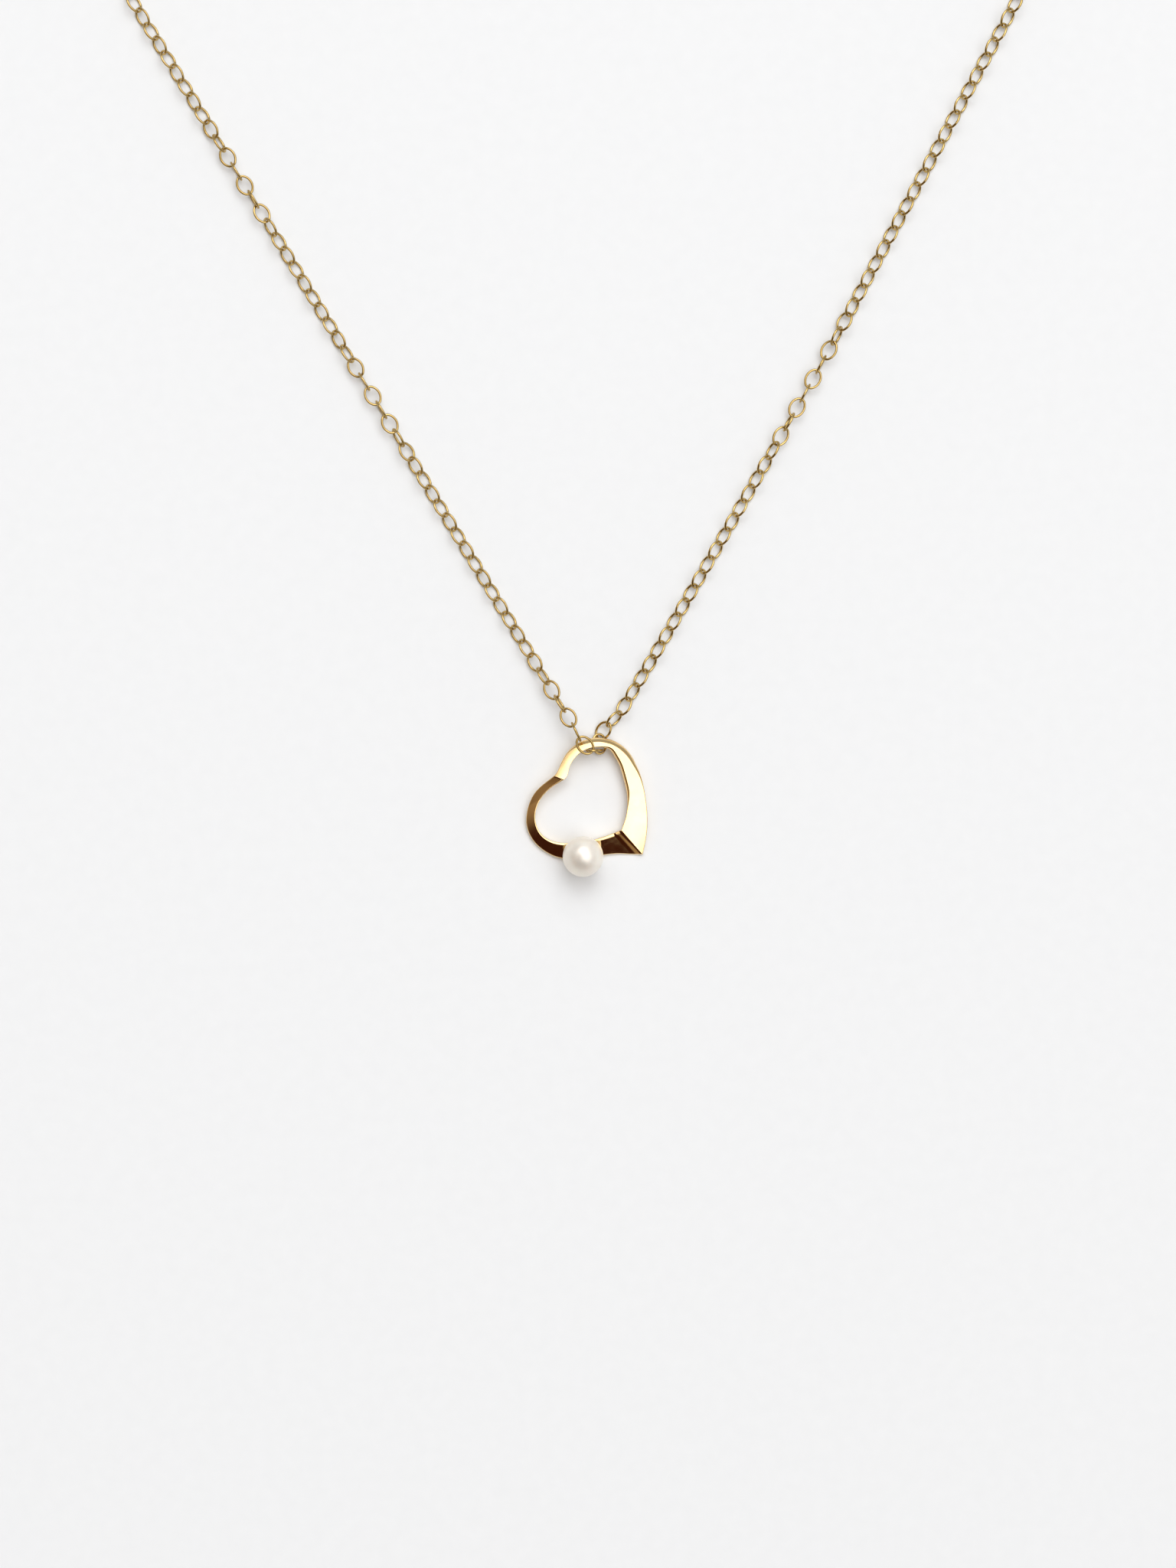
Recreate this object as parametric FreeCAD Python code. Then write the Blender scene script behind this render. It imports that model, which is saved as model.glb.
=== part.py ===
"""Open heart pendant with a pearl, strung on a fine cable chain, unfastened and lying flat.

Lengths are in millimetres and angles in degrees. The surface it lies on is z = 0, the front of the
heart faces +Z and the chain's two arms run towards +Y. Each node is written to parts/NODE.step.
"""

import FreeCAD
import Part
import math
import os

V = FreeCAD.Vector

# Row origin, in the layout's own axes: the middle of the whole piece.
CENTRE = V(-1.967, 81.422, 0.0)

# Chain link: a closed oval of round wire.
WIRE = 0.24
LINK_LENGTH = 2.16
LINK_WIDTH = 1.66
LINK_END_RADIUS = 0.56
PITCH = 1.62
LIFT = 0.01

# Chain runs: how many links each run has, in turn, and how many runs an arm has.
RUN_LINKS = [6, 7, 6, 6, 6, 7, 8, 6]
RUNS = 21
STRAIGHT_LINKS = 67
TOP_HEADING = -90.0

# The three links at the heart and the first links of each arm: their end points and their roll.
FRONT_LINK = (V(0.233, -0.474, 1.764), V(-0.826, 0.702, 2.110), 179.1)
MIDDLE_LINK = (V(0.24, -0.433, 1.819), V(1.069, -0.382, 0.428), 91.3)
BACK_LINK = (V(1.165, -0.537, 0.407), V(1.06, 1.079, 0.351), 18.3)
LEFT_LEAD = [V(-0.82, 0.705, 2.108), V(-1.513, 2.16, 1.964)]
RIGHT_LEAD = [V(1.015, 1.016, 0.25), V(2.015, 2.138, 0.846), V(3.146, 3.289, 0.75)]

# Along each arm, by link number: the direction in plan, turned outwards from +Y; the roll of the
# even links; and the least height of the junctions while the chain comes down from the heart.
LEFT_HEADINGS = [(0, 31.3), (STRAIGHT_LINKS, 31.3)]
RIGHT_HEADINGS = [(0, 31.5), (6, 30.3), (22, 29.6), (30, 28.1), (STRAIGHT_LINKS, 28.6)]
LEFT_ROLLS = [(0, 90), (3, 74), (6, 45), (19, 45), (22, 6), (25, 0), (28, -45), (35, -45),
              (38, -84), (40, -90), (44, -135), (124, -135), (134, -90)]
RIGHT_ROLLS = [(0, -21), (1, -33.7), (4, -45), (19, -45), (22, -80), (23, -90), (26, -92),
               (30, -135), (124, -135), (134, -180)]
LEFT_HEIGHTS = [(0, 2.11), (1, 1.964), (2, 1.68), (3, 1.38), (4, 1.10), (5, 0.90), (6, 0.0)]
RIGHT_HEIGHTS = [(0, 0.27), (1, 0.846), (2, 0.75), (3, 0.72), (4, 0.69), (5, 0.0)]

# Heart: a flat band with bevelled edges, leaning up at its top where the chain passes under it.
HEART_THICKNESS = 0.86
HEART_TILT = 4.0
TOP_ARC_CENTRE = V(1.0, -2.97, 0)
TOP_ARC_INNER = 3.0
TOP_ARC_OUTER = 3.9
OUTER_ARC_SPAN = (25, 156)
INNER_ARC_SPAN = (72, 168)
OUTER_SHOULDER = [(-2.86, -2.06), (-3.07, -2.49)]
INNER_SHOULDER = [(-2.03, -2.78)]
REST_LINE_Y = -11.0
OUTER_RIGHT = [(5.10, -2.55), (5.52, -4.1), (5.78, -5.8), (5.86, -7.4), (5.76, -8.8)]
OUTER_TIP = (5.40, -10.62)
OUTER_BOTTOM = [(4.3, -10.62), (3.0, -10.56), (1.4, -10.70), (-1.2, -10.97), (-2.6, -11.0),
                (-4.18, -10.37), (-5.45, -9.2), (-6.07, -7.6), (-5.93, -6.05), (-5.3, -4.6),
                (-4.35, -3.62), (-3.70, -3.12)]
OUTER_CLEFT = (-3.31, -2.80)
INNER_RIGHT = [(2.61, -0.88), (3.06, -1.70), (3.46, -2.95), (3.79, -4.3), (3.88, -5.4),
               (3.80, -6.5)]
INNER_CORNER = (3.30, -8.18)
INNER_BOTTOM = [(2.0, -8.72), (0.81, -9.10), (-0.7, -9.40), (-2.15, -9.50), (-3.60, -9.27),
                (-4.6, -8.6), (-5.14, -7.5), (-5.10, -6.1), (-4.54, -4.93), (-3.6, -3.98)]
INNER_CLEFT = (-2.37, -3.20)
OUTER_BEVEL = 0.26
EDGE_BEVEL = 0.07

# Pearl: half drilled, glued on a peg in a shallow cup let into the heart's lower limb.
PEARL_RADIUS = 2.0
PEARL_CENTRE = V(-0.49, -10.63, 2.75)
CUP_INNER = 2.02
CUP_OUTER = 2.19
CUP_RADIUS = 1.02
PEG_FOOT = V(-0.49, -10.22, 0.42)
PEG_RADIUS = 0.38
PEG_LENGTH = 2.6
DRILL_RADIUS = 0.45
GLUE_GAP = 0.01
DRILL_DEPTH = 0.55

# Clasp: a spring ring, its eye and its jump ring. Angles run round the ring from the way out.
RING_WIRE = 0.34
JUMP_RADIUS = 0.90
JUMP_GAP = 0.05
EYE_RADIUS = 0.66
CLASP_RADIUS = 2.35
TUBE_OUTER = 0.55
TUBE_INNER = 0.36
TUBE_START = 65
TUBE_SWEEP = 315
SLOT_START = -57
SLOT_SWEEP = 57
SLOT_WIDTH = 0.38
STOP_ANGLE = -118
STOP_SWEEP = 4
ROD_RADIUS = 0.30
ROD_START = -30
ROD_SWEEP = 96.5
KNOB_ANGLE = -5
KNOB_STEM = 0.13
KNOB_RADIUS = 0.25
KNOB_HEIGHT = 0.78
SPRING_WIRE = 0.10
SPRING_COIL = 0.24
SPRING_START = -112
SPRING_SWEEP = 80
SPRING_TURNS = 10

# End tag: an oval plate with a small hole for its jump ring and a large one for the clasp.
TAG_LENGTH = 6.0
TAG_WIDTH = 3.0
TAG_THICKNESS = 0.40
TAG_TILT = 4.5
TAG_SMALL_HOLE = 0.55
TAG_LARGE_HOLE = 1.05
TAG_SMALL_AT = 1.0
TAG_LARGE_AT = 4.15
TAG_EDGE = 0.08
END_RING_HEIGHT = 1.08
END_RING_REACH = 0.50
TAG_HOLE_HEIGHT = 0.62

UP = V(0, 0, 1)
ORIGIN = V(0, 0, 0)


def interpolate(stations, at):
    """Straight-line value between (position, value) stations, constant beyond the ends."""
    if at <= stations[0][0]:
        return stations[0][1]
    for (a, low), (b, high) in zip(stations, stations[1:]):
        if at <= b:
            return low + (high - low) * (at - a) / (b - a)
    return stations[-1][1]


def unit(vector):
    """The vector at length one."""
    return vector * (1.0 / vector.Length)


def link_axes(start, end, roll):
    """Middle, long axis, width axis and normal of a link that runs from start to end."""
    along = unit(end - start)
    level = unit(UP.cross(along))
    steep = along.cross(level)
    turn = math.radians(roll)
    across = level * math.cos(turn) + steep * math.sin(turn)
    return (start + end) * 0.5, along, across, along.cross(across)


def placed(shape, axes):
    """A copy of a shape drawn at the origin, carried to the given middle and axes."""
    middle, x, y, z = axes
    matrix = FreeCAD.Matrix(
        x.x, y.x, z.x, middle.x,
        x.y, y.y, z.y, middle.y,
        x.z, y.z, z.z, middle.z,
        0, 0, 0, 1)
    copy = shape.copy()
    copy.transformShape(matrix, True)
    return copy


def make_link():
    """One link, in the XY plane with its length along X: round wire swept round four arcs."""
    half_length = (LINK_LENGTH - WIRE) / 2
    half_width = (LINK_WIDTH - WIRE) / 2
    reach = half_length - LINK_END_RADIUS
    side = (reach ** 2 + half_width ** 2 - LINK_END_RADIUS ** 2) / (2 * (half_width - LINK_END_RADIUS))
    drop = side - half_width
    lean = math.atan2(drop, reach)
    corner_x = reach + LINK_END_RADIUS * math.cos(lean)
    corner_y = LINK_END_RADIUS * math.sin(lean)
    a = V(corner_x, corner_y, 0)
    b = V(-corner_x, corner_y, 0)
    c = V(-corner_x, -corner_y, 0)
    d = V(corner_x, -corner_y, 0)
    arcs = [
        Part.Arc(d, V(half_length, 0, 0), a).toShape(),
        Part.Arc(a, V(0, half_width, 0), b).toShape(),
        Part.Arc(b, V(-half_length, 0, 0), c).toShape(),
        Part.Arc(c, V(0, -half_width, 0), d).toShape(),
    ]
    spine = Part.Wire(arcs)
    heading = spine.Edges[0].tangentAt(spine.Edges[0].FirstParameter)
    profile = Part.Wire(Part.makeCircle(WIRE / 2, d, heading))
    link = spine.makePipeShell([profile], True, True)
    if link.Volume < 0:
        link.reverse()
    return link


def arm_headings(headings, links):
    """Heading of each link: the straight part by stations, then one even curve to the top."""
    straight = headings[-1][1]
    curve = links - STRAIGHT_LINKS
    result = []
    for number in range(links):
        if number < STRAIGHT_LINKS:
            result.append(interpolate(headings, number))
        else:
            share = (number - STRAIGHT_LINKS + 0.5) / curve
            result.append(straight + (TOP_HEADING - straight) * share)
    return result


def resting_height(roll):
    """Height of the chain's line where links of this roll, and across it, lie on the surface."""
    turn = math.radians(roll)
    widest = max(abs(math.sin(turn)), abs(math.cos(turn)))
    return (LINK_WIDTH - WIRE) / 2 * widest + WIRE / 2 + LIFT


def make_arm(side, lead, headings, rolls, heights):
    """Junction points and link rolls of one arm; side is -1 for the left arm and 1 for the right."""
    links = sum(RUN_LINKS[run % len(RUN_LINKS)] for run in range(RUNS))
    turns = arm_headings(headings, links)
    points = list(lead)
    for number in range(len(lead) - 1, links):
        turn = math.radians(turns[number])
        near = [interpolate(rolls, number + step) for step in (0, 1, 2)]
        level = max(resting_height(roll) for roll in near)
        height = max(level, interpolate(heights, number + 1))
        rise = height - points[-1].z
        plan = math.sqrt(PITCH ** 2 - rise ** 2)
        points.append(points[-1] + V(side * math.sin(turn) * plan, math.cos(turn) * plan, rise))
    return points, [interpolate(rolls, number) + 90 * number for number in range(links)]


def arm_links(arm):
    """Axes of every link of an arm."""
    points, rolls = arm
    return [link_axes(points[i], points[i + 1], rolls[i]) for i in range(len(rolls))]


def run_starts():
    """Number of the first link of each run, and the number after the last."""
    starts = [0]
    for run in range(RUNS):
        starts.append(starts[-1] + RUN_LINKS[run % len(RUN_LINKS)])
    return starts


LEFT_ARM = make_arm(-1, LEFT_LEAD, LEFT_HEADINGS, LEFT_ROLLS, LEFT_HEIGHTS)
RIGHT_ARM = make_arm(1, RIGHT_LEAD, RIGHT_HEADINGS, RIGHT_ROLLS, RIGHT_HEIGHTS)


def wire_end(axes):
    """Centre of the wire at the far end of a link."""
    return axes[0] + axes[1] * ((LINK_LENGTH - WIRE) / 2)


def end_frame(axes):
    """Level direction out of an arm's last link, and the level direction to its left."""
    ahead = unit(V(axes[1].x, axes[1].y, 0))
    return ahead, UP.cross(ahead)


def flat(point):
    """A 2-D point as a vector."""
    return V(point[0], point[1], 0)


def on_arc(radius, angle):
    """Point at an angle on an arc round the middle of the heart's top."""
    turn = math.radians(angle)
    return TOP_ARC_CENTRE + V(math.cos(turn), math.sin(turn), 0) * radius


def arc_tangent(angle):
    """Direction of clockwise travel at an angle on an arc."""
    turn = math.radians(angle)
    return V(math.sin(turn), -math.cos(turn), 0)


def smooth(points, start_tangent=None):
    """Smooth curve through points, leaving the first along a tangent if one is given."""
    curve = Part.BSplineCurve()
    if start_tangent is None:
        curve.interpolate(Points=points)
    else:
        tangents = [start_tangent] + [V(0, 0, 0)] * (len(points) - 1)
        flags = [True] + [False] * (len(points) - 1)
        curve.interpolate(Points=points, Tangents=tangents, TangentFlags=flags)
    return curve.toShape()


def outline(radius, span, right, corner, bottom, cleft, shoulder):
    """Closed outline, clockwise: top arc, right limb, corner, lower limb and lobe, cleft."""
    first, last = span
    arc = Part.Arc(on_arc(radius, last), on_arc(radius, (first + last) / 2), on_arc(radius, first))
    side = smooth([on_arc(radius, first)] + [flat(p) for p in right] + [flat(corner)], arc_tangent(first))
    base = smooth([flat(corner)] + [flat(p) for p in bottom] + [flat(cleft)])
    closing = smooth([on_arc(radius, last)] + [flat(p) for p in shoulder] + [flat(cleft)],
                     arc_tangent(last) * -1)
    return Part.Wire([arc.toShape(), side, base, closing])


def heart_place(shape):
    """A heart shape raised at its top about the line on which it rests."""
    copy = shape.copy()
    copy.rotate(V(0, REST_LINE_Y, 0), V(1, 0, 0), HEART_TILT)
    return copy


def heart_point(point):
    """A point of the flat heart, where the tilt takes it."""
    turn = math.radians(HEART_TILT)
    y = point.y - REST_LINE_Y
    return V(point.x, REST_LINE_Y + y * math.cos(turn) - point.z * math.sin(turn),
             y * math.sin(turn) + point.z * math.cos(turn))


def edges_at(shape, height, outer):
    """Edges of the plate's outer or inner rim at one height."""
    face = [f for f in shape.Faces if abs(f.CenterOfMass.z - height) < 1e-6 and len(f.Wires) == 2][0]
    rim = face.OuterWire
    wires = [w for w in face.Wires if w.isSame(rim) == outer]
    return wires[0].Edges


def peg_axis():
    """Direction of the peg, from the limb to the pearl's middle."""
    return unit(PEARL_CENTRE - PEG_FOOT)


def make_frame():
    """The heart's band, bevelled, with the cup's hollow and the peg's hole."""
    outer = outline(TOP_ARC_OUTER, OUTER_ARC_SPAN, OUTER_RIGHT, OUTER_TIP, OUTER_BOTTOM,
                    OUTER_CLEFT, OUTER_SHOULDER)
    inner = outline(TOP_ARC_INNER, INNER_ARC_SPAN, INNER_RIGHT, INNER_CORNER, INNER_BOTTOM,
                    INNER_CLEFT, INNER_SHOULDER)
    upright = V(0, 0, HEART_THICKNESS)
    band = Part.Face(outer).extrude(upright).cut(Part.Face(inner).extrude(upright))
    band = band.makeChamfer(OUTER_BEVEL, edges_at(band, HEART_THICKNESS, True))
    band = band.makeChamfer(EDGE_BEVEL, edges_at(band, HEART_THICKNESS, False))
    band = band.makeChamfer(EDGE_BEVEL, edges_at(band, 0, True) + edges_at(band, 0, False))
    hollow = Part.makeSphere(CUP_OUTER + GLUE_GAP, PEARL_CENTRE)
    hole = Part.makeCylinder(PEG_RADIUS + GLUE_GAP, 1.5, PEG_FOOT - peg_axis() * GLUE_GAP, peg_axis())
    return heart_place(band.cut(hollow).cut(hole))


def make_cup():
    """Thin dish between the limb and the pearl, with the peg's hole."""
    axis = peg_axis()
    dish = Part.makeSphere(CUP_OUTER, PEARL_CENTRE).cut(Part.makeSphere(CUP_INNER, PEARL_CENTRE))
    dish = dish.common(Part.makeCylinder(CUP_RADIUS, 3, PEARL_CENTRE - axis * 3, axis))
    hole = Part.makeCylinder(PEG_RADIUS + GLUE_GAP, 3, PEG_FOOT, axis)
    return heart_place(dish.cut(hole))


def make_peg():
    """Peg with two grooves that hold the glue."""
    axis = peg_axis()
    peg = Part.makeCylinder(PEG_RADIUS, PEG_LENGTH, PEG_FOOT, axis)
    for at in (1.0, 1.5, 2.0):
        ring = Part.makeTorus(PEG_RADIUS, 0.07, PEG_FOOT + axis * at, axis)
        peg = peg.cut(ring)
    return heart_place(peg)


def make_pearl():
    """Round pearl with its half-drilled hole."""
    axis = peg_axis()
    bottom = PEG_FOOT
    length = (PEARL_CENTRE - bottom).Length + DRILL_DEPTH
    hole = Part.makeCylinder(DRILL_RADIUS, length, bottom, axis)
    return heart_place(Part.makeSphere(PEARL_RADIUS, PEARL_CENTRE).cut(hole))


def make_glue():
    """Glue sleeve round the peg, inside the pearl's hole."""
    axis = peg_axis()
    reach = (PEARL_CENTRE - PEG_FOOT).Length
    start = reach - math.sqrt(PEARL_RADIUS ** 2 - DRILL_RADIUS ** 2) + 0.1
    length = PEG_LENGTH - start - 0.02
    foot = PEG_FOOT + axis * start
    sleeve = Part.makeCylinder(DRILL_RADIUS - GLUE_GAP, length, foot, axis)
    core = Part.makeCylinder(PEG_RADIUS + GLUE_GAP, length, foot, axis)
    return heart_place(sleeve.cut(core))


LEFT_END = arm_links(LEFT_ARM)[-1]
RIGHT_END = arm_links(RIGHT_ARM)[-1]
CLASP_OUT, CLASP_SIDE = end_frame(LEFT_END)
TAG_OUT, TAG_SIDE = end_frame(RIGHT_END)
JUMP_CENTRE = wire_end(LEFT_END) + CLASP_OUT * (JUMP_RADIUS - (WIRE + RING_WIRE) / 2 - JUMP_GAP)
EYE_CENTRE = JUMP_CENTRE + CLASP_OUT * (JUMP_RADIUS - RING_WIRE - JUMP_GAP + EYE_RADIUS)
CLASP_CENTRE = V(EYE_CENTRE.x, EYE_CENTRE.y, TUBE_OUTER) + CLASP_OUT * (
    EYE_RADIUS + CLASP_RADIUS + TUBE_OUTER - 0.08)
END_RING_CENTRE = V(wire_end(RIGHT_END).x, wire_end(RIGHT_END).y, END_RING_HEIGHT) + TAG_OUT * END_RING_REACH
RING_DROP = END_RING_HEIGHT - TAG_HOLE_HEIGHT
TAG_HOLE = END_RING_CENTRE + TAG_OUT * math.sqrt(JUMP_RADIUS ** 2 - RING_DROP ** 2) - UP * RING_DROP
TAG_ALONG = TAG_OUT * math.cos(math.radians(TAG_TILT)) - UP * math.sin(math.radians(TAG_TILT))
TAG_NORMAL = TAG_ALONG.cross(TAG_SIDE)


def clasp_place(shape):
    """A clasp shape drawn round the origin, its zero angle turned to the way out."""
    return placed(shape, (CLASP_CENTRE, CLASP_OUT, CLASP_SIDE, UP))


def tube_sector(radius, start, sweep):
    """Part of a ring of round section between two angles."""
    sector = Part.makeTorus(CLASP_RADIUS, radius, ORIGIN, UP, -180, 180, sweep)
    sector.rotate(ORIGIN, UP, start)
    return sector


def make_clasp_ring():
    """Hollow ring with its mouth, the knob's slot and the spring's stop."""
    tube = tube_sector(TUBE_OUTER, TUBE_START, TUBE_SWEEP)
    tube = tube.cut(tube_sector(TUBE_INNER, TUBE_START, TUBE_SWEEP))
    slot = Part.makeCylinder(CLASP_RADIUS + SLOT_WIDTH / 2, 1, V(0, 0, 0.1), UP, SLOT_SWEEP)
    slot = slot.cut(Part.makeCylinder(CLASP_RADIUS - SLOT_WIDTH / 2, 1, V(0, 0, 0.1), UP, 360))
    slot.rotate(ORIGIN, UP, SLOT_START)
    stop = tube_sector(TUBE_INNER + 0.05, STOP_ANGLE, STOP_SWEEP)
    return clasp_place(tube.cut(slot).fuse(stop))


def make_trigger():
    """Curved rod that closes the ring's mouth, with the knob that pulls it back."""
    rod = tube_sector(ROD_RADIUS, ROD_START, ROD_SWEEP)
    turn = math.radians(KNOB_ANGLE)
    foot = V(math.cos(turn), math.sin(turn), 0) * CLASP_RADIUS
    stem = Part.makeCylinder(KNOB_STEM, KNOB_HEIGHT, foot, UP)
    knob = Part.makeSphere(KNOB_RADIUS, foot + UP * KNOB_HEIGHT)
    return clasp_place(rod.fuse([stem, knob]))


def make_spring():
    """Square-wire coil spring bent round inside the ring, between the stop and the rod."""
    points = []
    steps = SPRING_TURNS * 10
    for step in range(steps + 1):
        round_ring = math.radians(SPRING_START + SPRING_SWEEP * step / steps)
        round_coil = 2 * math.pi * SPRING_TURNS * step / steps
        radius = CLASP_RADIUS + SPRING_COIL * math.cos(round_coil)
        points.append(V(radius * math.cos(round_ring), radius * math.sin(round_ring),
                        SPRING_COIL * math.sin(round_coil)))
    spine = smooth(points)
    heading = spine.tangentAt(spine.FirstParameter)
    ring_turn = math.radians(SPRING_START)
    ring_way = V(-math.sin(ring_turn), math.cos(ring_turn), 0)
    side = unit(ring_way - heading * ring_way.dot(heading)) * (SPRING_WIRE / 2)
    rise = unit(heading.cross(side)) * (SPRING_WIRE / 2)
    corners = [side + rise, rise - side, side * -1 - rise, side - rise]
    profile = Part.makePolygon([points[0] + corner for corner in corners + corners[:1]])
    coil = Part.Wire(spine).makePipeShell([profile], True, True)
    if coil.Volume < 0:
        coil.reverse()
    return clasp_place(coil)


def make_eye():
    """Upright eye soldered to the ring's back."""
    eye = Part.makeTorus(EYE_RADIUS, RING_WIRE / 2, EYE_CENTRE, CLASP_SIDE)
    body = clasp_place(Part.makeTorus(CLASP_RADIUS, TUBE_OUTER, ORIGIN, UP))
    return eye.cut(body)


def make_jump_ring():
    """Flat ring between the chain's last link and the clasp's eye."""
    return Part.makeTorus(JUMP_RADIUS, RING_WIRE / 2, JUMP_CENTRE, UP)


def make_end_ring():
    """Upright ring between the chain's last link and the tag."""
    return Part.makeTorus(JUMP_RADIUS, RING_WIRE / 2, END_RING_CENTRE, TAG_SIDE)


def make_tag():
    """Oval plate with its two holes, drawn with the small hole at the origin."""
    start = -TAG_SMALL_AT
    half = TAG_WIDTH / 2
    straight = TAG_LENGTH - TAG_WIDTH
    near = V(start + half, 0, 0)
    bar = Part.makeBox(straight, TAG_WIDTH, TAG_THICKNESS, near - V(0, half, 0))
    plate = bar.fuse([Part.makeCylinder(half, TAG_THICKNESS, near),
                      Part.makeCylinder(half, TAG_THICKNESS, near + V(straight, 0, 0))]).removeSplitter()
    plate = plate.cut(Part.makeCylinder(TAG_SMALL_HOLE, TAG_THICKNESS, ORIGIN))
    plate = plate.cut(Part.makeCylinder(TAG_LARGE_HOLE, TAG_THICKNESS, V(TAG_LARGE_AT - TAG_SMALL_AT, 0, 0)))
    rims = [e for f in plate.Faces if f.Surface.TypeId == "Part::GeomPlane" and len(f.Wires) == 3
            for e in f.OuterWire.Edges]
    plate = plate.makeChamfer(TAG_EDGE, rims)
    plate.translate(V(0, 0, -TAG_THICKNESS / 2))
    return placed(plate, (TAG_HOLE, TAG_ALONG, TAG_SIDE, TAG_NORMAL))


def chain_nodes(name, arm, link):
    """Each run of an arm as one node of separate links."""
    axes = arm_links(arm)
    starts = run_starts()
    nodes = {}
    for run in range(RUNS):
        links = [placed(link, a) for a in axes[starts[run]:starts[run + 1]]]
        nodes[f"{name}_{run + 1:02d}"] = Part.makeCompound(links)
    return nodes


def all_nodes():
    """Every node's shape, in the layout's own axes."""
    link = make_link()
    nodes = {
        "heart_frame": make_frame(),
        "pearl": make_pearl(),
        "pearl_post": make_peg(),
        "pearl_cup": make_cup(),
        "pearl_adhesive": make_glue(),
        "hanger_link_front": placed(link, link_axes(*FRONT_LINK)),
        "hanger_link_middle": placed(link, link_axes(*MIDDLE_LINK)),
        "hanger_link_back": placed(link, link_axes(*BACK_LINK)),
        "clasp_jump_ring": make_jump_ring(),
        "clasp_ring": make_clasp_ring(),
        "clasp_eye": make_eye(),
        "clasp_trigger": make_trigger(),
        "clasp_spring": make_spring(),
        "end_jump_ring": make_end_ring(),
        "end_tag": make_tag(),
    }
    nodes.update(chain_nodes("left_chain", LEFT_ARM, link))
    nodes.update(chain_nodes("right_chain", RIGHT_ARM, link))
    return nodes


def main():
    """Write every node, moved so that the row origin is below the middle of the piece."""
    os.makedirs("parts", exist_ok=True)
    for name, shape in all_nodes().items():
        shape.translate(CENTRE * -1)
        shape.exportStep(f"parts/{name}.step")


if __name__ == "__main__":
    main()
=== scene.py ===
"""Open heart pendant with a pearl on a fine cable chain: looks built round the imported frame.

Lengths are in millimetres in the layout's own axes until MM and CENTRE carry them to the frame.
"""

import math

import bpy
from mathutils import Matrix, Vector


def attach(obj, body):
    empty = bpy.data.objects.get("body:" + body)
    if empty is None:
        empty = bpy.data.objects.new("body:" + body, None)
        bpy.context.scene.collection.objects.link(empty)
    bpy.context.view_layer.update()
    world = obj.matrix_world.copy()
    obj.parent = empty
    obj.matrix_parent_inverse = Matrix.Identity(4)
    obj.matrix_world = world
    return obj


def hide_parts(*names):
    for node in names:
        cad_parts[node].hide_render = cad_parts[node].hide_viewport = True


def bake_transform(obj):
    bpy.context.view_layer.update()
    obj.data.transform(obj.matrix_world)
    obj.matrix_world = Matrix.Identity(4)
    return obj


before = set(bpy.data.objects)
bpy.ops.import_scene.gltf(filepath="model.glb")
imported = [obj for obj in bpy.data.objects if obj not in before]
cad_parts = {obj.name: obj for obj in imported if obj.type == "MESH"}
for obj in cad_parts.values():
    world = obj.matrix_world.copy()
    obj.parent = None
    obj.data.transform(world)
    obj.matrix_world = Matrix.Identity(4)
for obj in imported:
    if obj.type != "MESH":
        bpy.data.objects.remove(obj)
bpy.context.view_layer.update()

MM = 0.001
CENTRE = Vector((-1.967, 81.422, 0.0))
UP = Vector((0, 0, 1))


# ---------------------------------------------------------------- the chain's line

WIRE = 0.24
LINK_LENGTH = 2.16
LINK_WIDTH = 1.66
LINK_END_RADIUS = 0.56
PITCH = 1.62
LIFT = 0.01
WIRE_SIDES = 12
END_STEPS = 5
SIDE_STEPS = 9
RUN_LINKS = [6, 7, 6, 6, 6, 7, 8, 6]
RUNS = 21
STRAIGHT_LINKS = 67
TOP_HEADING = -90.0

# The links at the heart: start, end and roll in degrees.
FRONT_LINK = (Vector((0.233, -0.474, 1.764)), Vector((-0.826, 0.702, 2.110)), 179.1)
MIDDLE_LINK = (Vector((0.24, -0.433, 1.819)), Vector((1.069, -0.382, 0.428)), 91.3)
BACK_LINK = (Vector((1.165, -0.537, 0.407)), Vector((1.06, 1.079, 0.351)), 18.3)

# The first joints of each arm, then stations of (link number, value): heading and roll in
# degrees, and the least height of the chain's line.
LEFT_LEAD = [Vector((-0.82, 0.705, 2.108)), Vector((-1.513, 2.16, 1.964))]
RIGHT_LEAD = [Vector((1.015, 1.016, 0.25)), Vector((2.015, 2.138, 0.846)),
              Vector((3.146, 3.289, 0.75))]
LEFT_HEADINGS = [(0, 31.3), (STRAIGHT_LINKS, 31.3)]
RIGHT_HEADINGS = [(0, 31.5), (6, 30.3), (22, 29.6), (30, 28.1), (STRAIGHT_LINKS, 28.6)]
LEFT_ROLLS = [(0, 90), (3, 74), (6, 45), (19, 45), (22, 6), (25, 0), (28, -45), (35, -45),
              (38, -84), (40, -90), (44, -135), (124, -135), (134, -90)]
RIGHT_ROLLS = [(0, -21), (1, -33.7), (4, -45), (19, -45), (22, -80), (23, -90), (26, -92),
               (30, -135), (124, -135), (134, -180)]
LEFT_HEIGHTS = [(0, 2.11), (1, 1.964), (2, 1.68), (3, 1.38), (4, 1.10), (5, 0.90), (6, 0.0)]
RIGHT_HEIGHTS = [(0, 0.27), (1, 0.846), (2, 0.75), (3, 0.72), (4, 0.69), (5, 0.0)]


def interpolate(stations, at):
    """Straight-line value between (position, value) stations, constant beyond the ends."""
    if at <= stations[0][0]:
        return stations[0][1]
    for (a, low), (b, high) in zip(stations, stations[1:]):
        if at <= b:
            return low + (high - low) * (at - a) / (b - a)
    return stations[-1][1]


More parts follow.
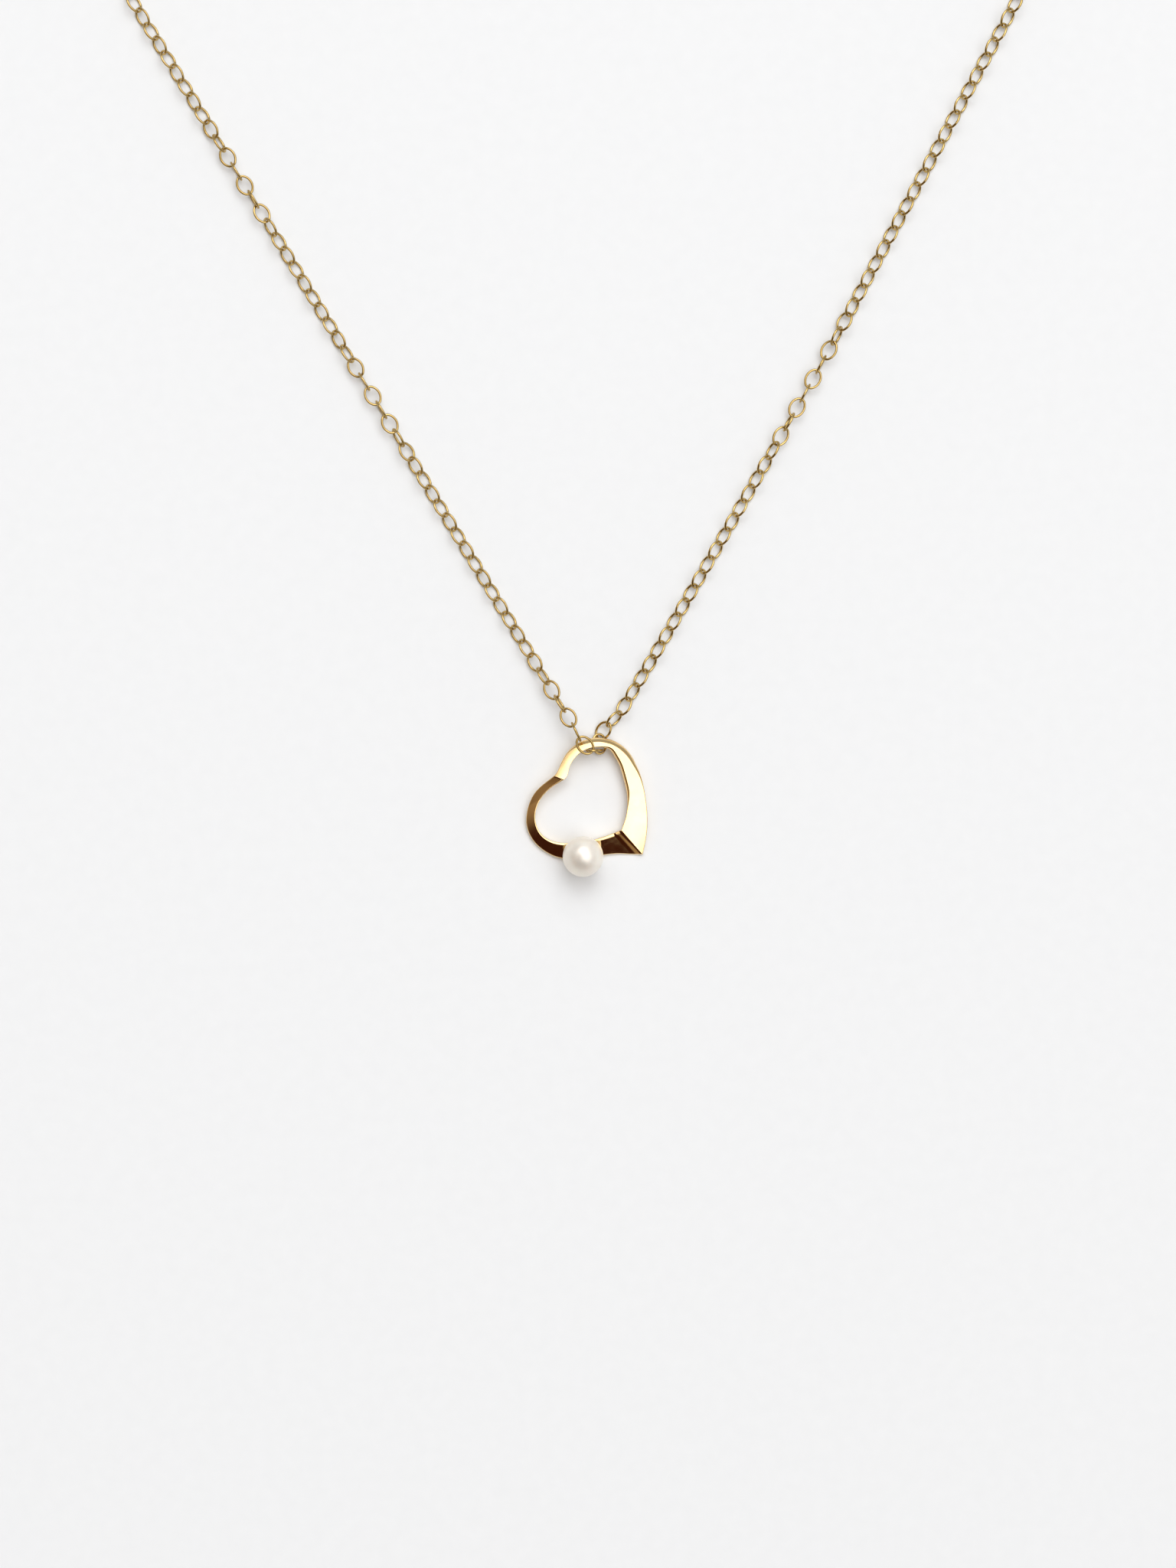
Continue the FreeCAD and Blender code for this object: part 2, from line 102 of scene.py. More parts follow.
def link_axes(start, end, roll):
    """Middle, long axis, width axis and normal of a link that runs from start to end."""
    along = (end - start).normalized()
    level = UP.cross(along).normalized()
    steep = along.cross(level)
    turn = math.radians(roll)
    across = level * math.cos(turn) + steep * math.sin(turn)
    return (start + end) * 0.5, along, across, along.cross(across)


def arm_headings(headings, links):
    """Heading of each link: the straight part by stations, then one even curve to the top."""
    straight = headings[-1][1]
    curve = links - STRAIGHT_LINKS
    result = []
    for number in range(links):
        if number < STRAIGHT_LINKS:
            result.append(interpolate(headings, number))
        else:
            share = (number - STRAIGHT_LINKS + 0.5) / curve
            result.append(straight + (TOP_HEADING - straight) * share)
    return result


def resting_height(roll):
    """Height of the chain's line where links of this roll, and across it, lie on the surface."""
    turn = math.radians(roll)
    widest = max(abs(math.sin(turn)), abs(math.cos(turn)))
    return (LINK_WIDTH - WIRE) / 2 * widest + WIRE / 2 + LIFT


def arm_links(side, lead, headings, rolls, heights):
    """Axes of every link of one arm; side is -1 for the left arm and 1 for the right."""
    links = sum(RUN_LINKS[run % len(RUN_LINKS)] for run in range(RUNS))
    turns = arm_headings(headings, links)
    points = list(lead)
    for number in range(len(lead) - 1, links):
        turn = math.radians(turns[number])
        near = [interpolate(rolls, number + step) for step in (0, 1, 2)]
        level = max(resting_height(roll) for roll in near)
        height = max(level, interpolate(heights, number + 1))
        climb = height - points[-1].z
        plan = math.sqrt(PITCH ** 2 - climb ** 2)
        points.append(points[-1] + Vector((side * math.sin(turn) * plan,
                                           math.cos(turn) * plan, climb)))
    return [link_axes(points[i], points[i + 1], interpolate(rolls, i) + 90 * i)
            for i in range(links)]


# ---------------------------------------------------------------- meshes

def place(point):
    """A layout point in the frame, in metres."""
    return (Vector(point) - CENTRE) * MM


def build(name, vertices, faces, material, body, creases=()):
    """A mesh object of layout points, riding on a body; creases are sharp edges by vertex pair."""
    mesh = bpy.data.meshes.new(name)
    mesh.from_pydata([place(v) for v in vertices], [], faces)
    mesh.validate()
    for polygon in mesh.polygons:
        polygon.use_smooth = True
    if creases:
        sharp = {tuple(sorted(pair)) for pair in creases}
        for edge in mesh.edges:
            if tuple(sorted(edge.vertices)) in sharp:
                edge.use_edge_sharp = True
    mesh.materials.append(material)
    piece = bpy.data.objects.new(name, mesh)
    bpy.context.scene.collection.objects.link(piece)
    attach(piece, body)
    return piece


def closed_tube(path, normal, radius, sides):
    """Vertices and faces of a round tube along a closed path in the plane of a normal."""
    count = len(path)
    vertices = []
    for i, point in enumerate(path):
        ahead = (path[(i + 1) % count] - path[i - 1]).normalized()
        side = ahead.cross(normal).normalized()
        up = side.cross(ahead)
        for k in range(sides):
            turn = 2 * math.pi * k / sides
            vertices.append(point + (side * math.cos(turn) + up * math.sin(turn)) * radius)
    faces = []
    for i in range(count):
        j = (i + 1) % count
        for k in range(sides):
            m = (k + 1) % sides
            faces.append((i * sides + k, i * sides + m, j * sides + m, j * sides + k))
    return vertices, faces


def link_path():
    """Centre line of a link at the origin, long along X: points round four tangent arcs."""
    half_length = (LINK_LENGTH - WIRE) / 2
    half_width = (LINK_WIDTH - WIRE) / 2
    reach = half_length - LINK_END_RADIUS
    side = ((reach ** 2 + half_width ** 2 - LINK_END_RADIUS ** 2)
            / (2 * (half_width - LINK_END_RADIUS)))
    lean = math.atan2(side - half_width, reach)
    spread = math.pi / 2 - lean
    points = []
    for centre_x, turn in ((reach, 0.0), (-reach, math.pi)):
        for step in range(-END_STEPS, END_STEPS + 1):
            angle = turn + lean * step / END_STEPS
            points.append(Vector((centre_x + LINK_END_RADIUS * math.cos(angle),
                                  LINK_END_RADIUS * math.sin(angle), 0)))
        shift = math.copysign(side - half_width, math.cos(turn))
        for step in range(1, SIDE_STEPS):
            angle = turn + math.pi / 2 + spread * (step / SIDE_STEPS * 2 - 1)
            points.append(Vector((side * math.cos(angle), side * math.sin(angle) - shift, 0)))
    return points


LINK_PATH = link_path()


def link_mesh(axes):
    """One link's vertices and faces at its place."""
    middle, x, y, z = axes
    path = [middle + x * p.x + y * p.y for p in LINK_PATH]
    return closed_tube(path, z, WIRE / 2, WIRE_SIDES)


def joined(meshes):
    """Several vertex and face lists as one."""
    vertices, faces = [], []
    for more, quads in meshes:
        start = len(vertices)
        vertices += more
        faces += [tuple(start + i for i in quad) for quad in quads]
    return vertices, faces


# ---------------------------------------------------------------- materials

NOISE_LOW = 0.3
NOISE_HIGH = 0.7
DRIFT_SCALE = 420.0
POLISH_SCALE = 1600.0
PEARL_POLISH_SCALE = 900.0
SCRATCH_DEPTH = 0.000004
BAND_DEPTH = 0.000012
PEARL_CLOUD_SCALE = 520.0
PEARL_ROUGHNESS = (0.36, 0.44)
BAND_STRETCH = (700, 700, 2600)
BAND_RELIEF = 0.10
PEARL_COLOURS = [(0.30, (0.83, 0.77, 0.69)), (0.52, (0.89, 0.845, 0.765)),
                 (0.72, (0.91, 0.87, 0.76))]
PEARL_SHADER = {"Metallic": 0.38, "Specular IOR Level": 0.75,
                "Coat Weight": 0.45, "Coat Roughness": 0.34, "Coat IOR": 1.62,
                "Subsurface Weight": 0.25, "Subsurface Radius": (1.0, 0.75, 0.62),
                "Subsurface Scale": 0.0006,
                "Sheen Weight": 0.25, "Sheen Roughness": 0.4, "Sheen Tint": (1.0, 0.92, 0.80, 1)}
GLUE_CLOUD_SCALE = 3000.0
GLUE_ROUGHNESS = (0.15, 0.3)
GLUE_COLOURS = [(NOISE_LOW, (0.84, 0.80, 0.68)), (NOISE_HIGH, (0.90, 0.88, 0.80))]
GLUE_SHADER = {"Transmission Weight": 0.6, "IOR": 1.5}


def set_inputs(node, values):
    """Set a node's sockets by name."""
    for socket, value in values.items():
        node.inputs[socket].default_value = value


def nodes_of(material):
    """The material's node tree and its shader."""
    material.use_nodes = True
    tree = material.node_tree
    return tree, tree.nodes["Principled BSDF"]


def noise(tree, coordinates, scale, detail=3.0, stretch=None):
    """Noise on the object's own coordinates, in features per metre, stretched if asked."""
    source = coordinates.outputs["Object"]
    if stretch:
        mapping = tree.nodes.new("ShaderNodeMapping")
        set_inputs(mapping, {"Scale": stretch})
        tree.links.new(source, mapping.inputs["Vector"])
        source = mapping.outputs["Vector"]
    texture = tree.nodes.new("ShaderNodeTexNoise")
    set_inputs(texture, {"Scale": scale, "Detail": detail})
    tree.links.new(source, texture.inputs["Vector"])
    return texture.outputs["Fac"]


def ramp(tree, factor, stops):
    """A colour ramp between (position, colour) stops."""
    node = tree.nodes.new("ShaderNodeValToRGB")
    node.color_ramp.elements[0].position = stops[0][0]
    node.color_ramp.elements[0].color = (*stops[0][1], 1)
    node.color_ramp.elements[1].position = stops[-1][0]
    node.color_ramp.elements[1].color = (*stops[-1][1], 1)
    for position, colour in stops[1:-1]:
        node.color_ramp.elements.new(position).color = (*colour, 1)
    tree.links.new(factor, node.inputs["Fac"])
    return node.outputs["Color"]


def spread(tree, factor, low, high):
    """The middle of a noise carried to a range of values."""
    node = tree.nodes.new("ShaderNodeMapRange")
    set_inputs(node, {"From Min": NOISE_LOW, "From Max": NOISE_HIGH, "To Min": low, "To Max": high})
    tree.links.new(factor, node.inputs["Value"])
    return node.outputs["Result"]


def bump(tree, shader, height, strength, distance):
    """Fine relief on the shader's normal."""
    node = tree.nodes.new("ShaderNodeBump")
    set_inputs(node, {"Strength": strength, "Distance": distance})
    tree.links.new(height, node.inputs["Height"])
    tree.links.new(node.outputs["Normal"], shader.inputs["Normal"])


def metal(name, light, deep, rough_low, rough_high, relief=0.08, scratch=(900, 5200, 900)):
    """Polished metal: a little colour drift, uneven polish and hairline scratches."""
    material = bpy.data.materials.new(name)
    tree, shader = nodes_of(material)
    shader.inputs["Metallic"].default_value = 1.0
    coordinates = tree.nodes.new("ShaderNodeTexCoord")
    drift = noise(tree, coordinates, DRIFT_SCALE)
    colours = [(NOISE_LOW, deep), (NOISE_HIGH, light)]
    tree.links.new(ramp(tree, drift, colours), shader.inputs["Base Color"])
    polish = noise(tree, coordinates, POLISH_SCALE, 5.0)
    tree.links.new(spread(tree, polish, rough_low, rough_high), shader.inputs["Roughness"])
    hairlines = noise(tree, coordinates, 1.0, 4.0, scratch)
    bump(tree, shader, hairlines, relief, SCRATCH_DEPTH)
    return material


def make_pearl_material():
    """Pearl: nacre with a soft lustre, a little colour drift and faint growth bands."""
    material = bpy.data.materials.new("pearl_nacre")
    tree, shader = nodes_of(material)
    coordinates = tree.nodes.new("ShaderNodeTexCoord")
    cloud = noise(tree, coordinates, PEARL_CLOUD_SCALE, 4.0)
    tree.links.new(ramp(tree, cloud, PEARL_COLOURS), shader.inputs["Base Color"])
    polish = noise(tree, coordinates, PEARL_POLISH_SCALE)
    tree.links.new(spread(tree, polish, *PEARL_ROUGHNESS), shader.inputs["Roughness"])
    set_inputs(shader, PEARL_SHADER)
    bands = noise(tree, coordinates, 1.0, 3.0, BAND_STRETCH)
    bump(tree, shader, bands, BAND_RELIEF, BAND_DEPTH)
    return material


def make_glue():
    """Clear, slightly yellow adhesive, a little uneven."""
    material = bpy.data.materials.new("clear_glue")
    tree, shader = nodes_of(material)
    coordinates = tree.nodes.new("ShaderNodeTexCoord")
    cloud = noise(tree, coordinates, GLUE_CLOUD_SCALE)
    tree.links.new(ramp(tree, cloud, GLUE_COLOURS), shader.inputs["Base Color"])
    tree.links.new(spread(tree, cloud, *GLUE_ROUGHNESS), shader.inputs["Roughness"])
    set_inputs(shader, GLUE_SHADER)
    return material


GOLD = metal("gold_polished", (0.95, 0.70, 0.35), (0.90, 0.62, 0.28), 0.05, 0.11)
# The chain's gold is much darker than the heart's gold: painted shade, standing in for the shade
# among the small links.
SHADED_CHAIN_GOLD = metal("gold_chain_painted_shade", (0.57, 0.41, 0.17), (0.44, 0.30, 0.10), 0.05, 0.11, 0.12,
                   (2600, 2600, 7000))
TAG_GOLD = metal("gold_brushed_tag", (0.92, 0.66, 0.32), (0.86, 0.58, 0.26), 0.14, 0.26, 0.25,
                 (300, 9000, 300))
STEEL = metal("spring_wire", (0.66, 0.64, 0.60), (0.52, 0.50, 0.47), 0.18, 0.32, 0.2,
              (6000, 6000, 6000))
PEARL = make_pearl_material()
GLUE = make_glue()


# ---------------------------------------------------------------- the heart

HEART_TILT = 4.0
REST_LINE_Y = -11.0
TOP_ARC_CENTRE = Vector((1.0, -2.97))
TOP_ARC_INNER = 3.0
TOP_ARC_OUTER = 3.9
TOP_SPLIT = 72
OUTER_ARC_RIGHT = 25
OUTER_ARC_LEFT = 156
INNER_ARC_LEFT = 168
SHOULDER_STEPS = 6
OUTER_RIGHT = [(5.10, -2.55), (5.52, -4.1), (5.78, -5.8), (5.86, -7.4), (5.76, -8.8)]
OUTER_TIP = (5.40, -10.62)
OUTER_BOTTOM = [(4.3, -10.62), (3.0, -10.56), (1.4, -10.70), (-1.2, -10.97), (-2.6, -11.0),
                (-4.18, -10.37), (-5.45, -9.2), (-6.07, -7.6), (-5.93, -6.05), (-5.3, -4.6),
                (-4.35, -3.62), (-3.70, -3.12)]
OUTER_CLEFT = (-3.31, -2.80)
INNER_RIGHT = [(2.61, -0.88), (3.06, -1.70), (3.46, -2.95), (3.79, -4.3), (3.88, -5.4),
               (3.80, -6.5)]
INNER_CORNER = (3.30, -8.18)
INNER_BOTTOM = [(2.0, -8.72), (0.81, -9.10), (-0.7, -9.40), (-2.15, -9.50), (-3.60, -9.27),
                (-4.6, -8.6), (-5.14, -7.5), (-5.10, -6.1), (-4.54, -4.93), (-3.6, -3.98)]
INNER_CLEFT = (-2.37, -3.20)
OUTER_SHOULDER = [(-2.86, -2.06), (-3.07, -2.49)]
INNER_SHOULDER = [(-2.03, -2.78)]
SHOULDER_COUNT = 64
SIDE_COUNT = 110
BASE_COUNT = 200
THICKNESS = 0.86

# The front face and its edges, in millimetres and degrees. The side runs from the cleft over the
# top to the tip, and the base from the tip back to the cleft. A place along either is a share of its
# outline points, from 0 to 1, but in BASE_ROUND_FROM and CLEFT_ROUND_FROM it counts points.
SIDE_SLOPES = [(0.0, 3.0), (0.22, 3.0), (0.40, 4.0), (0.6, 5.0), (0.9, 6.0), (1.0, 8.0)]
BASE_SLOPES = [(0.0, 8.0), (0.03, 9.0), (0.40, 8.5), (0.52, 9.5), (0.62, 10.5), (0.80, 10.5),
               (0.93, 9.0), (1.0, 7.0)]
BASE_CREST = 0.62
CREST_DROP = 0.24
CREST_STEP_END = 0.06
CREST_RISE = [(0.60, 0.0), (0.79, 0.25), (1.0, 1.0)]
FINE_ROUND = 0.03
WIDE_ROUND = 0.23
WIDE_ROUND_FROM = (0.30, 0.42)
WIDE_ROUND_TO = (0.70, 0.86)
BASE_ROUND = 0.05
BASE_ROUND_FROM = (0, 34)
CLEFT_ROUND = 0.03
CLEFT_ROUND_FROM = (100, 150)
FINE_BEVEL = 0.06
WIDE_BEVEL = 0.34
WIDE_BEVEL_FROM = (0.10, 0.26)
WIDE_BEVEL_TO = (0.44, 0.70)
BEVEL_DROP = 0.58
BEVEL_EASE = 0.10
BEVEL_EASE_FROM = (0.40, 0.47)
BEVEL_ROWS = ((0.0, 0.40), (0.06, 0.22), (0.22, 0.0))
ROUND_ROWS = (0.35, 0.7, 1.0)
ROUND_DROP = 1.1
FACE_ROWS = 8
FACE_CROWN = 0.004
BACK_EDGE = 0.07
BACK_EDGE_MIDDLE = 0.02
SHARPEST_MITRE = 0.35


def spline(points, start=None, steps=24):
    """Cubic spline through 2-D points by chord length, with a start direction if one is given."""
    p = [Vector(q) for q in points]
    n = len(p)
    h = [(p[i + 1] - p[i]).length for i in range(n - 1)]
    lower = [0.0] * n
    middle = [1.0] * n
    upper = [0.0] * n
    right = [Vector((0.0, 0.0)) for _ in range(n)]
    if start is not None:
        middle[0] = 2 * h[0]
        upper[0] = h[0]
        right[0] = ((p[1] - p[0]) / h[0] - Vector(start)) * 6
    for i in range(1, n - 1):
        lower[i] = h[i - 1]
        middle[i] = 2 * (h[i - 1] + h[i])
        upper[i] = h[i]
        right[i] = ((p[i + 1] - p[i]) / h[i] - (p[i] - p[i - 1]) / h[i - 1]) * 6
    for i in range(1, n):
        share = lower[i] / middle[i - 1]
        middle[i] -= share * upper[i - 1]
        right[i] = right[i] - right[i - 1] * share
    bend = [Vector((0.0, 0.0)) for _ in range(n)]
    bend[-1] = right[-1] / middle[-1]
    for i in range(n - 2, -1, -1):
        bend[i] = (right[i] - bend[i + 1] * upper[i]) / middle[i]
    result = [p[0]]
    for i in range(n - 1):
        for step in range(1, steps + 1):
            b = h[i] * step / steps
            a = h[i] - b
            result.append(bend[i] * a ** 3 / (6 * h[i]) + bend[i + 1] * b ** 3 / (6 * h[i])
                          + (p[i] / h[i] - bend[i] * h[i] / 6) * a
                          + (p[i + 1] / h[i] - bend[i + 1] * h[i] / 6) * b)
    return result


def on_arc(radius, angle):
    """Point at an angle on an arc round the middle of the heart's top."""
    turn = math.radians(angle)
    return TOP_ARC_CENTRE + Vector((math.cos(turn), math.sin(turn))) * radius


def arc(radius, first, last, steps=40):
    """Points along an arc."""
    return [on_arc(radius, first + (last - first) * i / steps) for i in range(steps + 1)]


def resample(points, count):
    """Evenly spaced points along a polyline, without the last."""
    lengths = [0.0]
    for a, b in zip(points, points[1:]):
        lengths.append(lengths[-1] + (b - a).length)
    result = []
    k = 0
    for i in range(count):
        at = lengths[-1] * i / count
        while lengths[k + 1] < at:
            k += 1
        share = (at - lengths[k]) / max(lengths[k + 1] - lengths[k], 1e-9)
        result.append(points[k].lerp(points[k + 1], share))
    return result


def clockwise(angle):
    """Direction of clockwise travel at an angle on an arc."""
    turn = math.radians(angle)
    return Vector((math.sin(turn), -math.cos(turn)))


def outlines():
    """Paired outer and inner outline points, clockwise from the cleft, and the tip's number."""
    outer_right = [on_arc(TOP_ARC_OUTER, OUTER_ARC_RIGHT), *OUTER_RIGHT, OUTER_TIP]
    outer_side = arc(TOP_ARC_OUTER, TOP_SPLIT, OUTER_ARC_RIGHT)
    outer_side += spline(outer_right, clockwise(OUTER_ARC_RIGHT))[1:]
    inner_right = [on_arc(TOP_ARC_INNER, TOP_SPLIT), *INNER_RIGHT, INNER_CORNER]
    inner_side = spline(inner_right, clockwise(TOP_SPLIT))
    outer_top = [OUTER_CLEFT, *reversed(OUTER_SHOULDER)]
    outer_top += arc(TOP_ARC_OUTER, OUTER_ARC_LEFT, TOP_SPLIT, SHOULDER_STEPS)
    inner_top = [INNER_CLEFT, *reversed(INNER_SHOULDER)]
    inner_top += arc(TOP_ARC_INNER, INNER_ARC_LEFT, TOP_SPLIT, SHOULDER_STEPS)
    outer = resample(spline(outer_top), SHOULDER_COUNT)
    inner = resample(spline(inner_top), SHOULDER_COUNT)
    outer += resample(outer_side, SIDE_COUNT)
    inner += resample(inner_side, SIDE_COUNT)
    tip = len(outer)
    outer += resample(spline([OUTER_TIP, *OUTER_BOTTOM, OUTER_CLEFT]), BASE_COUNT)
    inner += resample(spline([INNER_CORNER, *INNER_BOTTOM, INNER_CLEFT]), BASE_COUNT)
    return outer, inner, tip


def offset(points, distance):
    """A clockwise closed outline moved to its right by a distance, mitred at its corners."""
    result = []
    count = len(points)
    for i, point in enumerate(points):
        back = (point - points[i - 1]).normalized()
        ahead = (points[(i + 1) % count] - point).normalized()
        right = Vector((back.y, -back.x)) + Vector((ahead.y, -ahead.x))
        right.normalize()
        lean = max(SHARPEST_MITRE, right.dot(Vector((ahead.y, -ahead.x))))
        result.append(point + right * distance / lean)
    return result


def smooth_step(low, high, value):
    """Zero up to low, one from high on, and a smooth rise between."""
    t = min(1.0, max(0.0, (value - low) / (high - low)))
    return t * t * (3 - 2 * t)


def crest(station, tip, total):
    """Height of the band's inner front edge: a step down past the tip, a rise to the cleft."""
    if station <= tip:
        return THICKNESS
    share = (station - tip) / (total - tip)
    step = 1 - smooth_step(0.0, CREST_STEP_END, share)
    return BASE_CREST + CREST_DROP * max(step, interpolate(CREST_RISE, share))


def heart_place(x, y, z):
    """A point of the flat heart, where the tilt takes it."""
    turn = math.radians(HEART_TILT)
    y -= REST_LINE_Y
    return Vector((x, REST_LINE_Y + y * math.cos(turn) - z * math.sin(turn),
                   y * math.sin(turn) + z * math.cos(turn)))


def inner_round(station, tip):
    """Width of the rounded inner front edge: widest round the top and down the right limb."""
    if station > tip:
        past = station - tip
        return (FINE_ROUND + BASE_ROUND * smooth_step(*BASE_ROUND_FROM, past)
                - CLEFT_ROUND * smooth_step(*CLEFT_ROUND_FROM, past))
    share = station / tip
    return FINE_ROUND + (WIDE_ROUND * smooth_step(*WIDE_ROUND_FROM, share)
                         * (1 - smooth_step(*WIDE_ROUND_TO, share)))


def outer_bevel(station, tip):
    """Width of the outer front bevel: widest round the top, only a fine break elsewhere."""
    share = station / tip
    return FINE_BEVEL + (WIDE_BEVEL * smooth_step(*WIDE_BEVEL_FROM, share)
                         * (1 - smooth_step(*WIDE_BEVEL_TO, share)))


def face_slope(station, tip, total):
    """Outward slope of the front face: gentle at the cleft, steepest round the lower lobe."""
    if station <= tip:
        angle = interpolate(SIDE_SLOPES, station / tip)
    else:
        angle = interpolate(BASE_SLOPES, (station - tip) / (total - tip))
    return math.tan(math.radians(angle))


def heart_mesh():
    """Vertices, faces and sharp edges of the band, row by row round its section."""
    outer, inner, tip = outlines()
    total = len(outer)
    bevels = [outer_bevel(i, tip) for i in range(total)]
    outer_unit = offset(outer, 1.0)
    inner_unit = offset(inner, 1.0)
    outer_rim = [p.lerp(q, w) for p, q, w in zip(outer, outer_unit, bevels)]
    rounds = [inner_round(i, tip) for i in range(total)]
    inner_rim = [p + (p - q) * w for p, q, w in zip(inner, inner_unit, rounds)]
    rows = []

    def row(points, heights):
        rows.append([heart_place(p.x, p.y, z) for p, z in zip(points, heights)])

    top_in = [crest(i, tip, total) for i in range(total)]
    widths = [(inner_rim[i] - outer_rim[i]).length for i in range(total)]
    top_out = [top_in[i] - widths[i] * face_slope(i, tip, total) for i in range(total)]
    row(offset(outer, BACK_EDGE), [0.0] * total)
    row(offset(outer, BACK_EDGE_MIDDLE), [BACK_EDGE_MIDDLE] * total)
    row(outer, [BACK_EDGE] * total)
    steep = [BEVEL_DROP - BEVEL_EASE * smooth_step(*BEVEL_EASE_FROM, i / tip) for i in range(total)]
    for inset, drop in BEVEL_ROWS:
        row([p.lerp(q, inset * w) for p, q, w in zip(outer, outer_unit, bevels)],
            [t - (drop + d) * w for t, w, d in zip(top_out, bevels, steep)])
    face_edge = len(rows)
    for k in range(FACE_ROWS + 1):
        share = k / FACE_ROWS
        crown = FACE_CROWN * math.sin(math.pi * share)
        row([outer_rim[i].lerp(inner_rim[i], share) for i in range(total)],
            [top_out[i] + (top_in[i] - top_out[i]) * share + crown for i in range(total)])
    for share in ROUND_ROWS:
        along, down = math.sin(share * math.pi / 2), 1 - math.cos(share * math.pi / 2)
        row([p.lerp(q, along) for p, q in zip(inner_rim, inner)],
            [t - w * ROUND_DROP * down for t, w in zip(top_in, rounds)])
    row(inner, [BACK_EDGE] * total)
    row(offset(inner, -BACK_EDGE_MIDDLE), [BACK_EDGE_MIDDLE] * total)
    row(offset(inner, -BACK_EDGE), [0.0] * total)
    vertices = [point for line in rows for point in line]
    faces = []
    for r in range(len(rows)):
        s = (r + 1) % len(rows)
        for i in range(total):
            j = (i + 1) % total
            faces.append((r * total + i, r * total + j, s * total + j, s * total + i))
    sharp = []
    for r in range(len(rows) - 1):
        for station in (0, tip):
            sharp.append((r * total + station, (r + 1) * total + station))
    for i in range(total):
        sharp.append((face_edge * total + i, face_edge * total + (i + 1) % total))
    return vertices, faces, sharp


def make_heart():
    """The band as one smooth closed mesh in place of the faceted node."""
    vertices, faces, sharp = heart_mesh()
    piece = build("heart_band", vertices, faces, GOLD, "heart", sharp)
    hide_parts("heart_frame")


# ---------------------------------------------------------------- the pearl

PEARL_RADIUS = 2.0
PEARL_CENTRE = Vector((-0.49, -10.63, 2.75))
PEG_FOOT = Vector((-0.49, -10.22, 0.42))
DRILL_RADIUS = 0.45
DRILL_TOP = 0.52
MOUTH_LAP = 0.02
PEARL_RINGS = 72
PEARL_SIDES = 96
POLE_ANGLE = 0.012
UNEVENNESS = 0.0035
UNEVEN_WAVES = 5


def turned(profile, origin, axis, sides):
    """A profile of (radius, height) points turned round an axis and closed at both ends."""
    side = axis.orthogonal().normalized()
    other = axis.cross(side)
    vertices = []
    for radius, height in profile:
        for k in range(sides):
            turn = 2 * math.pi * k / sides
            out = side * math.cos(turn) + other * math.sin(turn)
            vertices.append(origin + axis * height + out * radius)
    faces = []
    for i in range(len(profile) - 1):
        for k in range(sides):
            m = (k + 1) % sides
            faces.append((i * sides + k, i * sides + m, (i + 1) * sides + m, (i + 1) * sides + k))
    last = (len(profile) - 1) * sides
    faces.append(tuple(range(sides - 1, -1, -1)))
    faces.append(tuple(range(last, last + sides)))
    return vertices, faces


def make_pearl():
    """The pearl: a ball with a very slight natural unevenness and its half-drilled hole."""
    axis = (PEARL_CENTRE - PEG_FOOT).normalized()
    start = math.asin(DRILL_RADIUS / PEARL_RADIUS)
    mouth = -PEARL_RADIUS * math.cos(start) + MOUTH_LAP
    profile = [(DRILL_RADIUS, DRILL_TOP), (DRILL_RADIUS, mouth)]
    for step in range(PEARL_RINGS + 1):
        angle = start + (math.pi - POLE_ANGLE - start) * step / PEARL_RINGS
        radius = PEARL_RADIUS * (1 - UNEVENNESS * (0.5 + 0.5 * math.sin(UNEVEN_WAVES * angle)))
        profile.append((radius * math.sin(angle), -radius * math.cos(angle)))
    flat, faces = turned(profile, PEARL_CENTRE, axis, PEARL_SIDES)
    vertices = [heart_place(p.x, p.y, p.z) for p in flat]
    piece = build("pearl_ball", vertices, faces, PEARL, "heart")
    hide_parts("pearl")


# ---------------------------------------------------------------- the chain

def make_chain(name, links):
    """Every run of an arm as one piece of separate smooth links, in place of its node."""
    start = 0
    for run in range(RUNS):
        count = RUN_LINKS[run % len(RUN_LINKS)]
        vertices, faces = joined([link_mesh(axes) for axes in links[start:start + count]])
        node = f"{name}_chain_{run + 1:02d}"
        piece = build(f"{name}_links_{run + 1:02d}", vertices, faces, SHADED_CHAIN_GOLD, node)
        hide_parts(node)
        start += count


def make_hanger():
    """The three links at the heart."""
    for part, line in (("front", FRONT_LINK), ("middle", MIDDLE_LINK), ("back", BACK_LINK)):
        vertices, faces = link_mesh(link_axes(*line))
        piece = build(f"hanger_{part}", vertices, faces, SHADED_CHAIN_GOLD, f"{part}_link")
        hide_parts(f"hanger_link_{part}")


# ---------------------------------------------------------------- finishes of the CAD nodes

NODE_MATERIALS = {"pearl": PEARL, "pearl_adhesive": GLUE, "clasp_spring": STEEL,
                  "end_tag": TAG_GOLD}


def finish_nodes():
    """Give every CAD node its material; gold unless it is listed."""
    for name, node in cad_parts.items():
        node.data.materials.clear()
        node.data.materials.append(NODE_MATERIALS.get(name, GOLD))


def make_spring():
    """The clasp's coil spring: a copy of its node's mesh, baked in place, shown instead of the node.
    """
    piece = bpy.data.objects.new("spring_coil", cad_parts["clasp_spring"].data.copy())
    bpy.context.scene.collection.objects.link(piece)
    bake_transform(piece)
    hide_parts("clasp_spring")


# ---------------------------------------------------------------- stage, light and camera

FLOOR_HALF = 3.0
GRAIN_SCALE = 700.0
FLOOR_COLOURS = [(0.2, (0.866, 0.887, 0.906)), (0.8, (0.886, 0.907, 0.926))]
FLOOR_SHADER = {"Roughness": 0.8, "Specular IOR Level": 0.1}


